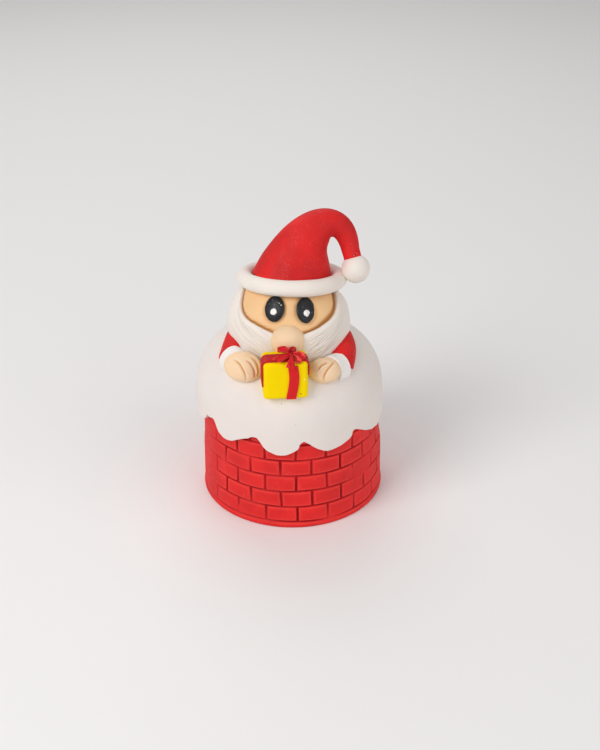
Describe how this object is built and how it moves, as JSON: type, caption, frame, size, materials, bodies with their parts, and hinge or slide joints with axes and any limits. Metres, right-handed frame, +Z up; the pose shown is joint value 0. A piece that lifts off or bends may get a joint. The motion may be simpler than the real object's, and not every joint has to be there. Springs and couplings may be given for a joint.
{
  "type": "christmas cake",
  "caption": "Small round celebration cake iced as a brick chimney under a snow cap, with a Father Christmas figure that holds a wrapped gift.",
  "frame": {"origin": "middle of the cake's flat base, on the surface it stands on", "axes": "+Z up, the figure looks along -Y, +X to the right of someone who faces the cake"},
  "size_m": [0.1164, 0.1164, 0.1814],
  "materials": {
    "brick_icing": "satin red sugar icing",
    "snow_icing": "smooth matt off-white sugar icing",
    "skin_icing": "smooth matt peach sugar icing",
    "white_icing": "smooth matt off-white sugar icing",
    "black_icing": "soft sheen black sugar icing",
    "red_icing": "matt red sugar icing",
    "yellow_icing": "soft sheen yellow sugar icing",
    "ribbon_icing": "satin red sugar icing"
  },
  "bodies": {
    "root": {"chimney": "brick_icing", "snow_cap": "snow_icing", "head": "skin_icing", "nose": "skin_icing", "hand_left": "skin_icing", "hand_right": "skin_icing", "beard": "white_icing", "hat_band": "white_icing", "bobble": "white_icing", "cuff_left": "white_icing", "cuff_right": "white_icing", "glint_left": "white_icing", "glint_right": "white_icing", "eye_left": "black_icing", "eye_right": "black_icing", "hat": "red_icing", "sleeve_left": "red_icing", "sleeve_right": "red_icing", "gift_box": "yellow_icing", "ribbon_front": "ribbon_icing", "ribbon_over": "ribbon_icing", "bow_knot": "ribbon_icing", "bow_leaf_left": "ribbon_icing", "bow_leaf_right": "ribbon_icing", "bow_loop_left": "ribbon_icing", "bow_loop_right": "ribbon_icing", "bow_tail": "ribbon_icing"}
  },
  "joints": []
}
